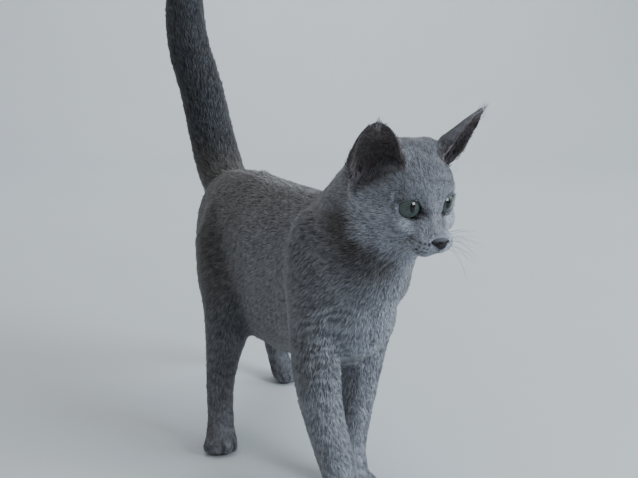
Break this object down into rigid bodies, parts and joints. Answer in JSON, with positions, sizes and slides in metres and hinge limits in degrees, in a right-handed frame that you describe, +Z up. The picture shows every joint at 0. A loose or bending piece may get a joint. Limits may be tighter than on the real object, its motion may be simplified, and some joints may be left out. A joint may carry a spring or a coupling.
{
  "type": "walking kitten",
  "caption": "Short-haired blue-grey kitten caught in mid walk: tail raised, head level and turned a little, standing on its four feet.",
  "frame": {"origin": "middle of the bounding box, on the floor", "axes": "+Z up; the cat walks towards -Y, tail at +Y; its right side is -X"},
  "size_m": [0.1524, 0.4232, 0.4219],
  "materials": {
    "coat_light": "short dense plush fur, bluish silver grey, tips lighter",
    "coat_grey": "short dense plush fur, blue grey with silver tips",
    "coat_dark": "short dense plush fur, dark slate grey",
    "ear_skin": "thin dark skin, downy inside",
    "eye_glass": "wet grey-green eye with a dark pupil",
    "nose_skin": "moist slate nose leather"
  },
  "bodies": {
    "root": {"head": "coat_light", "neck": "coat_grey", "chest": "coat_grey", "belly": "coat_dark", "rump": "coat_dark", "shoulder_left": "coat_grey", "shoulder_right": "coat_grey", "thigh_left": "coat_dark", "thigh_right": "coat_dark", "tail_root": "coat_dark", "tail_middle": "coat_dark", "tail_tip": "coat_dark", "foreleg_left": "coat_grey", "foreleg_right": "coat_grey", "forepaw_left": "coat_grey", "forepaw_right": "coat_grey", "shank_left": "coat_dark", "shank_right": "coat_dark", "hindfoot_left": "coat_dark", "hindfoot_right": "coat_dark", "ear_left": "ear_skin", "ear_right": "ear_skin", "eye_left": "eye_glass", "eye_right": "eye_glass", "nose": "nose_skin"}
  },
  "joints": []
}
